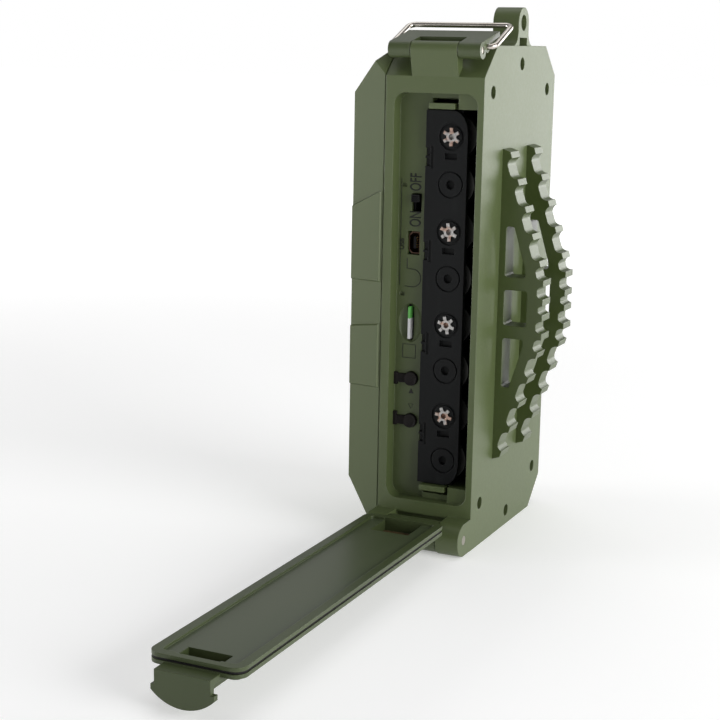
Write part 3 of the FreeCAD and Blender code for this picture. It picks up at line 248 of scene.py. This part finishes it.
def brightMetal(name, score=0.004 * mm):
    # drawn or turned metal: fine lines across the stretch, faint tarnish
    colour, stretch, rough = metals[name]
    look = Look(name, Metallic=1.0)
    lines = look.noise(900, 2, stretch)
    stain = look.noise(120, 4).step(0.5, 0.75)
    tone = look.mix(stain * 0.4, colour, tarnish)
    rough = rough + lines * 0.1 + stain * 0.08
    normal = look.bump(lines, score, 0.12 * mm)
    look.set(Base_Color=tone, Roughness=rough, Normal=normal)
    return look


rivetCoat = {"nickel": srgb(178, 176, 174), "copper": srgb(176, 128, 100)}


def rivetMetal():
    # nickel flash over copper, so some petals glow warm
    look = Look("rivetMetal", Metallic=1.0)
    warm = look.noise(260, 2).step(0.46, 0.6)
    tone = look.mix(warm * 0.6, rivetCoat["nickel"], rivetCoat["copper"])
    normal = look.bump(look.noise(2500, 2), 0.01 * mm, 0.15 * mm)
    look.set(Base_Color=tone, Roughness=0.24 + look.noise(900, 3) * 0.25, Normal=normal)
    return look


screwCoat = {"black": srgb(30, 30, 32), "wearAndCornerHighlight": srgb(120, 118, 114)}


def screwBlack():
    # black oxide, rubbed to bare steel at the corners
    look = Look("screwBlack", Metallic=0.9)
    wearAndCornerHighlight = look.edges(0.12 * mm) * look.noise(900, 2)
    tone = look.mix(wearAndCornerHighlight, screwCoat["black"], screwCoat["wearAndCornerHighlight"])
    normal = look.bump(look.noise(2500, 2), 0.01 * mm, 0.12 * mm)
    look.set(Base_Color=tone, Roughness=0.38 + look.noise(700, 3) * 0.2, Normal=normal)
    return look


cellCoat = {"sleeve": srgb(15, 16, 18), "band": srgb(52, 54, 58), "steel": srgb(60, 60, 58)}


def cellSleeve():
    # a shrunk dark film with a grey band, and bare steel on the flat ends
    look = Look("cellSleeve", IOR=1.45, Specular_IOR_Level=0.4)
    x = look.along("X")
    start, stop, blur = -4 * mm, 2 * mm, 0.2 * mm
    band = x.step(start, start + blur) * (1 - x.step(stop, stop + blur))
    tone = look.mix(band, cellCoat["sleeve"], cellCoat["band"])
    end = look.facing("X").size().step(0.9, 0.95)
    tone = look.mix(end, tone, cellCoat["steel"])
    ripple = look.noise(90, 3, (2, 1, 1))
    normal = look.bump(ripple, 0.04 * mm, 0.3 * mm)
    look.set(Base_Color=tone, Metallic=end * 0.8, Roughness=0.3 + ripple * 0.15)
    look.set(Normal=normal)
    return look


def circuitBoard():
    # green mask with paler tracks, and gold pads here and there
    look = Look("circuitBoard", IOR=1.5, Coat_Weight=0.3, Coat_Roughness=0.2)
    point = look.place()
    brick = look.add("TexBrick", {"offset": 0.37}, {
        "Vector": look.add("Mapping", {}, {"Vector": point, "Rotation": (math.pi / 2, 0, 0)}),
        "Scale": 60, "Mortar Size": 0.03, "Brick Width": 0.6, "Row Height": 0.12,
        "Color1": srgb(22, 74, 44), "Color2": srgb(18, 64, 38), "Mortar": srgb(52, 116, 74),
    }, "Color")
    pads = look.cells(420).step(0.14, 0.1)
    tone = look.mix(pads * look.noise(150).step(0.55, 0.6), brick, srgb(206, 190, 140))
    normal = look.bump(look.noise(1200, 2), 0.01 * mm)
    look.set(Base_Color=tone, Roughness=0.3 + pads * 0.1, Normal=normal)
    return look


def wovenCloth():
    # threads over and under in both directions, about one a millimetre
    look = Look("wovenCloth")
    over = (look.along("X") * 6200).wave() * (look.along("Z") * 6200).wave()
    tone = look.mix(over.step(-0.5, 0.8), srgb(8, 8, 8), srgb(34, 34, 34))
    look.set(Base_Color=tone, Roughness=0.9, Normal=look.bump(over, 0.05 * mm))
    return look


def paperCone():
    # pressed pulp
    look = Look("paperCone")
    fibre = look.noise(1600, 4)
    tone = look.mix(fibre.step(0.35, 0.65), srgb(26, 25, 24), srgb(48, 46, 43))
    look.set(Base_Color=tone, Roughness=0.8, Normal=look.bump(fibre, 0.04 * mm))
    return look


def castDark(name, low, high, rough):
    # a pitted dark face, between two tones
    look = Look(name)
    pits = look.noise(700, 4)
    tone = look.mix(pits.step(0.35, 0.7), low, high)
    normal = look.bump(pits, 0.03 * mm, 0.2 * mm)
    look.set(Base_Color=tone, Roughness=rough + pits * 0.15, Normal=normal)
    return look


cardCoat = {
    "white": srgb(214, 214, 216), "green": srgb(96, 176, 84), "gold": srgb(214, 172, 92),
    "smear": srgb(150, 150, 150), "band": 4 * mm, "contacts": 3.1 * mm, "pitch": 1.1 * mm,
}


def memoryCard():
    # white printed card with a green band at the top and gold contacts inside
    look = Look("memoryCard", IOR=1.5)
    z = look.along("Z")
    low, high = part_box("memory_card")
    blur = 0.1 * mm
    start = high.z - cardCoat["band"]
    green = z.step(start - blur, start + blur)
    tone = look.mix(green, cardCoat["white"], cardCoat["green"])
    lines = (z * (2 * math.pi / cardCoat["pitch"])).wave().step(-0.2, 0.1)
    stop = low.x + cardCoat["contacts"]
    inside = look.along("X").step(stop + blur, stop - blur)
    tone = look.mix(lines * inside, tone, cardCoat["gold"])
    speck = look.noise(1500, 2)
    tone = look.mix(speck.step(0.6, 0.8) * 0.15, tone, cardCoat["smear"])
    normal = look.bump(speck, 0.01 * mm, 0.12 * mm)
    look.set(Base_Color=tone, Roughness=0.35 + speck * 0.1, Normal=normal)
    return look


# the door's liner and pockets: colours, gloss, weave, and how far their floors lie under the face
linerCoat = {
    "colour": srgb(62, 72, 48), "pale": srgb(70, 78, 56), "fleck": srgb(84, 90, 72),
    "pocket": srgb(96, 74, 50), "rough": 0.33, "weave": 2600, "weaveHeight": 0.01 * mm,
    "sunk": 0.9 * mm, "pocketFloor": 4.4 * mm,
}


def doorPlastic():
    # olive all over with painted highlights on the corners, a smooth dark liner on the sunk floor,
    # brown dust in the two pockets
    plain = oliveDoor
    look = Look("oliveDoor", IOR=1.5, Specular_IOR_Level=0.4)
    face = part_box("door_panel")[1].z
    flow = look.noise(14, 3, (1, 1, 0.35))
    speck = look.noise(900, 2)
    # painted highlight: corners, in noise patches, lightened towards the pale colour
    paintedCornerHighlight = look.edges(plain["edge"]) * look.noise(160, 3).step(0.35, 0.6)
    colour = look.mix(flow.step(0.3, 0.7) * 0.75, plain["colour"], plain["deep"])
    colour = look.mix(paintedCornerHighlight * 0.45, colour, plain["pale"])
    upward = look.facing("Z").step(0.8, 0.9)
    depth = face - look.along("Z")
    liner = (1 - (depth - linerCoat["sunk"]).size().step(0.05 * mm, 0.15 * mm)) * upward
    pocket = (1 - (depth - linerCoat["pocketFloor"]).size().step(0.1 * mm, 0.3 * mm)) * upward
    weave = look.noise(linerCoat["weave"], 1)
    dull = look.noise(26, 4, (0.5, 1.8, 1)).step(0.35, 0.7)
    coat = look.mix(dull, linerCoat["colour"], linerCoat["pale"])
    coat = look.mix(weave.step(0.55, 0.75) * 0.3, coat, linerCoat["fleck"])
    colour = look.mix(pocket * 0.8, colour, linerCoat["pocket"])
    colour = look.mix(liner, colour, coat)
    rough = plain["rough"] + (speck - 0.5) * 0.1 - paintedCornerHighlight * 0.1
    shine = linerCoat["rough"] + weave * 0.06 + (dull - 0.5) * 0.03
    height = look.noise(plain["grain"], 1) * plain["grainHeight"] * (1 - liner)
    height = height + weave * linerCoat["weaveHeight"] * liner
    normal = look.bump(height, 1, plain["edge"])
    look.set(Base_Color=colour, Roughness=rough * (1 - liner) + shine * liner, Normal=normal)
    return look


def redLens():
    # clear red, a little cloudy
    look = Look("redLens", IOR=1.49, Transmission_Weight=0.35, Coat_Weight=0.5)
    swirl = look.noise(600, 2)
    tone = look.mix(swirl.step(0.4, 0.7), srgb(150, 14, 12), srgb(190, 34, 26))
    look.set(Base_Color=tone, Roughness=0.15 + swirl * 0.1)
    return look


def grey(value):
    return (value, value, value, 1)


def paleFloor():
    # pale near the object, and lit of itself further out, so that it meets the backdrop
    look = Look("paleFloor", Emission_Strength=1.0)
    cloud = look.noise(3, 3)
    tone = look.mix(cloud, grey(0.80), grey(0.84))
    point = look.place()
    away = look.add("VectorMath", {"operation": "LENGTH"}, {0: point}, "Value")
    near, far = studio["floorNear"], studio["floorFar"]
    lit = look.mix(away.step(*studio["floorReach"]), grey(near), grey(far))
    look.set(Base_Color=tone, Roughness=0.7 + cloud * 0.1, Emission_Color=lit)
    return look


def dress(look, *names):
    for name in names:
        mesh = nodes[name].data
        mesh.materials.clear()
        mesh.materials.append(look.material)


def dressNodes():
    case = olivePlastic("oliveCase", oliveCase)
    dress(case, "rear_housing", "front_shell", "hanging_lug")
    dress(olivePlastic("oliveRail", oliveRail), "rail_left", "rail_right")
    dress(doorPlastic(), "door_panel")
    dress(olivePlastic("oliveLever", oliveDoor), "latch_lever")
    dress(blackPlastic("blackMagazine", blackMagazine), "magazine_frame")
    knob = blackPlastic("blackKnob", blackKnob)
    dress(knob, "switch_knob", "switch_case", "card_socket", "usb_tongue")
    dress(knob, "capacitors", "tact_switches")
    seal = blackRubber("blackRubber", sealRubber)
    dress(seal, "case_seal", "door_seal", "speaker_surround")
    buttons = blackRubber("blackButtons", buttonRubber)
    dress(buttons, "button_up", "button_down", "button_arms")
    dress(brightMetal("brightWire", 0.001 * mm), "wire_bail")
    dress(brightMetal("turnedSteel"), "hinge_pin", "lever_pin")
    plated = brightMetal("platedContact")
    dress(plated, "contact_strips", "magazine_terminals", "bay_contacts", "receiver_module")
    dress(brightMetal("agedShell"), "usb_shell")
    dress(rivetMetal(), "contact_rivets")
    dress(screwBlack(), "housing_screws", "speaker_screws", "board_screws")
    dress(cellSleeve(), *[f"cell_{k}" for k in range(1, 9)])
    dress(circuitBoard(), "side_board", "main_board")
    dress(wovenCloth(), "grille_cloth")
    dress(paperCone(), "speaker_cone", "speaker_cap")
    dress(castDark("basketSteel", srgb(44, 44, 46), srgb(66, 66, 68), 0.4), "speaker_basket")
    dress(castDark("ferrite", srgb(34, 33, 33), srgb(58, 56, 54), 0.6), "speaker_magnet")
    dress(brightMetal("finnedAluminium"), "amplifier")
    dress(brightMetal("woundCopper"), "voice_coil", "antenna")
    dress(memoryCard(), "memory_card")
    dress(redLens(), "status_led")
    print("finishes: done")


# raised marks: height, line width, letter heights, letter width, sizes of the symbols
marks = {
    "relief": 0.12 * mm, "sink": 0.02 * mm, "line": 0.22 * mm, "letter": 5.6 * mm,
    "small": 2.2 * mm, "narrow": 0.6, "squareHalf": 2.3 * mm, "loopRadius": 3.0 * mm,
    "solidArrow": 0.85 * mm, "openArrow": (0.9 * mm, 0.8 * mm),
}


def newPiece(name, mesh, look, body):
    # a mesh of one material that moves with a body
    piece = bpy.data.objects.new(name, mesh)
    bpy.context.scene.collection.objects.link(piece)
    mesh.materials.clear()
    mesh.materials.append(look.material)
    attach(piece, body)


def placed(spot, *columns):
    # a matrix that moves to the spot and turns X, Y and Z to the three columns
    turn = Matrix([[column[row] for column in columns] for row in range(3)]).to_4x4()
    return Matrix.Translation(spot) @ turn


def markFrame(y, z):
    # reading runs up the case, letters stand towards the front, faces look to the door
    return placed((panelFace(), y, z), (0, 0, 1), (0, -1, 0), (1, 0, 0))


def panelFace():
    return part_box("button_arms")[0].x


def lettering(name, text, size, y, z, look, narrow=1.0):
    curve = bpy.data.curves.new(name, "FONT")
    curve.body = text
    curve.size = size
    curve.align_x = "CENTER"
    curve.align_y = "CENTER"
    curve.extrude = marks["relief"]
    curve.offset = 0.05 * mm
    piece = bpy.data.objects.new(name, curve)
    bpy.context.scene.collection.objects.link(piece)
    piece.matrix_world = markFrame(y, z) @ Matrix.Diagonal((narrow, 1, 1, 1))
    bpy.context.view_layer.update()
    shown = piece.evaluated_get(bpy.context.evaluated_depsgraph_get())
    mesh = bpy.data.meshes.new_from_object(shown)
    mesh.transform(piece.matrix_world)
    bpy.data.objects.remove(piece)
    newPiece(name, mesh, look, "case")


def finished(name, bm, look):
    # turns a mark's faces outwards and hands it to the case
    bmesh.ops.recalc_face_normals(bm, faces=bm.faces)
    mesh = bpy.data.meshes.new(name)
    bm.to_mesh(mesh)
    bm.free()
    newPiece(name, mesh, look, "case")


def ribbon(name, points, wide, look, closed=False):
    # a fine raised line on the control strip, through (y, z) points
    bm = bmesh.new()
    count = len(points)
    rows = []
    for k, point in enumerate(points):
        before = points[(k - 1) % count] if closed or k else point
        after = points[(k + 1) % count] if closed or k < count - 1 else point
        along = (Vector(after) - Vector(before)).normalized()
        side = Vector((-along.y, along.x)) * wide / 2
        row = []
        for lift in (-marks["sink"], marks["relief"]):
            for sign in (-1, 1):
                spot = Vector(point) + side * sign
                row.append(bm.verts.new((panelFace() + lift, spot.x, spot.y)))
        rows.append(row)
    steps = count if closed else count - 1
    for k in range(steps):
        a, b = rows[k], rows[(k + 1) % count]
        for i, j in ((0, 1), (1, 3), (3, 2), (2, 0)):
            bm.faces.new((a[i], a[j], b[j], b[i]))
    if not closed:
        for row in (rows[0], rows[-1]):
            bm.faces.new((row[0], row[1], row[3], row[2]))
    finished(name, bm, look)


def filledTriangle(name, y, z, size, look):
    # it points up
    bm = bmesh.new()
    corners = [(y - size, z - size), (y + size, z - size), (y, z + size)]
    rows = []
    for lift in (-marks["sink"], marks["relief"]):
        rows.append([bm.verts.new((panelFace() + lift, a, b)) for a, b in corners])
    bm.faces.new(rows[1])
    bm.faces.new(rows[0])
    for k in range(3):
        bm.faces.new((rows[0][k], rows[0][(k + 1) % 3], rows[1][(k + 1) % 3], rows[1][k]))
    finished(name, bm, look)


def middleOf(name):
    low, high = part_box(name)
    return (low + high) / 2


def makeMarks():
    ink = olivePlastic("markedOlive", dict(
        oliveCase, colour=srgb(15, 18, 9), pale=srgb(24, 28, 15), deep=srgb(12, 14, 7),
    ))
    knobLow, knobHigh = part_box("switch_knob")
    cardLow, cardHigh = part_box("memory_card")
    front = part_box("button_arms")[0].y
    line, letter, narrow = marks["line"], marks["letter"], marks["narrow"]
    knobY = middleOf("switch_knob").y
    lettering("letteringOff", "OFF", letter, knobY - 0.3 * mm, knobHigh.z + 4 * mm, ink, narrow)
    lettering("letteringOn", "ON", letter, knobY - 0.2 * mm, knobLow.z - 5.7 * mm, ink, narrow)
    usbZ = middleOf("usb_shell").z
    lettering("letteringUsb", "USB", marks["small"], front + 1.6 * mm, usbZ - 0.6 * mm, ink)
    loop = loopOutline(front + 3.6 * mm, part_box("usb_shell")[0].z - 1.5 * mm)
    ribbon("loopLine", loop, line, ink)
    half, y, z = marks["squareHalf"], middleOf("memory_card").y, cardLow.z - 4.2 * mm
    square = [(y - half, z - half), (y + half, z - half), (y + half, z + half), (y - half, z + half)]
    ribbon("cardSquare", square, line, ink, True)
    y, z = middleOf("button_up").y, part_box("button_up")[0].z - 2.0 * mm
    filledTriangle("upArrow", y, z, marks["solidArrow"], ink)
    y, z = middleOf("button_down").y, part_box("button_down")[1].z + 2.6 * mm
    wide, tall = marks["openArrow"]
    arrow = [(y - wide, z + tall), (y + wide, z + tall), (y, z - tall)]
    ribbon("downArrow", arrow, line * 0.8, ink, True)
    # painted shade: a dark ink line standing for the shaded moulded edge beside the controls
    y = front + 1.0 * mm
    ribbon("edgeShadeLine", [(y, knobLow.z + 7.5 * mm), (y, cardHigh.z + 7.0 * mm)], line * 0.6, ink)
    print("marks: done")


def loopOutline(y, z):
    # down, round a half circle towards the back, and home
    radius, steps = marks["loopRadius"], 12
    top = z - 3.6 * mm
    points = [(y, z), (y, z - 3.4 * mm), (y + 1.4 * mm, top)]
    for k in range(1, steps):
        angle = math.pi / 2 - math.pi * k / steps
        across, rise = radius * math.cos(angle), radius * math.sin(angle)
        points.append((y + 2.0 * mm + across, top - radius + rise))
    low = top - 2 * radius
    return points + [(y + 1.6 * mm, low), (y - 0.6 * mm, low + 0.2 * mm)]


# the contacts on the USB bar: how many, their size, how far they stand in from its ends
usbPins = {"count": 5, "thick": 0.12 * mm, "wide": 0.36 * mm, "inset": 0.3 * mm, "round": 0.03 * mm}


def makeUsbPins():
    low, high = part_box("usb_tongue")
    centre = (low + high) / 2
    size = (high.x - low.x - 2 * usbPins["inset"], usbPins["thick"], usbPins["wide"], 1)
    bm = bmesh.new()
    for k in range(usbPins["count"]):
        z = low.z + (high.z - low.z) * (k + 0.5) / usbPins["count"]
        spot = Matrix.Translation((centre.x, high.y + 0.05 * mm, z))
        bmesh.ops.create_cube(bm, size=1, matrix=spot @ Matrix.Diagonal(size))
    bmesh.ops.bevel(bm, geom=bm.edges, offset=usbPins["round"], segments=2, affect="EDGES")
    mesh = bpy.data.meshes.new("usbPins")
    bm.to_mesh(mesh)
    bm.free()
    newPiece("usbPins", mesh, brightMetal("pinGold"), "case")
    print("pins: done")


# the eye and its angles in degrees, the strength of the backdrop and of the air's light,
# and the floor's own glow near the object and far from it
studio = {
    "eye": (0.502647, 0.198614, 0.166970), "heading": 24.911, "tilt": 11.596,
    "roll": 1.019, "lens": 77.97, "backdrop": 1.0, "air": 0.21,
    "floorSize": 6, "floorReach": (0.25, 1.3), "floorNear": 0.3, "floorFar": 0.9,
}
caseMiddle, doorMiddle = (0.03, 0, 0.09), (0.12, 0, 0.01)
# soft lamps: place, what each is aimed at, its two sides, its power in watts
lamps = {
    "backKey": ((0.28, 1.07, 0.24), caseMiddle, (0.8, 0.8), 16),
    "panelGlow": ((-0.86, 0.46, 0.12), caseMiddle, (0.9, 0.7), 6.0),
    "facetGlow": ((0.4, -1.02, 0.1), caseMiddle, (0.5, 0.6), 10.0),
    "doorGlow": ((-0.95, -0.6, 0.46), doorMiddle, (1.1, 1.1), 1.3),
    "above": ((-0.3, -0.1, 1.25), caseMiddle, (1.0, 1.0), 4.0),
}


def setCamera():
    heading = math.radians(studio["heading"])
    tilt, roll = math.radians(studio["tilt"]), math.radians(studio["roll"])
    look = -Vector((
        math.cos(heading) * math.cos(tilt), math.sin(heading) * math.cos(tilt), math.sin(tilt)
    ))
    right = look.cross(Vector((0, 0, 1))).normalized()
    up = right.cross(look)
    tiltedRight = math.cos(roll) * right + math.sin(roll) * up
    tiltedUp = math.cos(roll) * up - math.sin(roll) * right
    data = bpy.data.cameras.new("camera")
    data.lens = studio["lens"]
    data.sensor_width = 36
    data.clip_start = 0.01
    camera = bpy.data.objects.new("camera", data)
    camera.matrix_world = placed(studio["eye"], tiltedRight, tiltedUp, -look)
    bpy.context.scene.collection.objects.link(camera)
    bpy.context.scene.camera = camera


def softLight(name, place, target, size, power):
    data = bpy.data.lights.new(name, "AREA")
    data.shape = "RECTANGLE"
    data.size, data.size_y = size
    data.energy = power
    lamp = bpy.data.objects.new(name, data)
    turn = (Vector(target) - Vector(place)).to_track_quat("-Z", "Y").to_matrix().to_4x4()
    lamp.matrix_world = Matrix.Translation(place) @ turn
    bpy.context.scene.collection.objects.link(lamp)


def setFloor():
    bm = bmesh.new()
    bmesh.ops.create_grid(bm, x_segments=1, y_segments=1, size=studio["floorSize"])
    mesh = bpy.data.meshes.new("floor")
    bm.to_mesh(mesh)
    bm.free()
    mesh.materials.append(paleFloor().material)
    floor = bpy.data.objects.new("floor", mesh)
    bpy.context.scene.collection.objects.link(floor)


def setWorld():
    # white to the eye, and a dimmer light on everything else
    world = bpy.data.worlds.new("studio")
    world.use_nodes = True
    tree = world.node_tree
    air = tree.nodes["Background"]
    backdrop = tree.nodes.new("ShaderNodeBackground")
    for node, strength in ((air, studio["air"]), (backdrop, studio["backdrop"])):
        node.inputs["Color"].default_value = grey(1)
        node.inputs["Strength"].default_value = strength
    seen = tree.nodes.new("ShaderNodeLightPath")
    either = tree.nodes.new("ShaderNodeMixShader")
    tree.links.new(seen.outputs["Is Camera Ray"], either.inputs[0])
    tree.links.new(air.outputs[0], either.inputs[1])
    tree.links.new(backdrop.outputs[0], either.inputs[2])
    tree.links.new(either.outputs[0], tree.nodes["World Output"].inputs[0])
    bpy.context.scene.world = world


dressNodes()
makeMarks()
makeUsbPins()
setCamera()
setFloor()
setWorld()
for name, values in lamps.items():
    softLight(name, *values)
bpy.context.scene.view_settings.view_transform = "Standard"
print("stage: done")
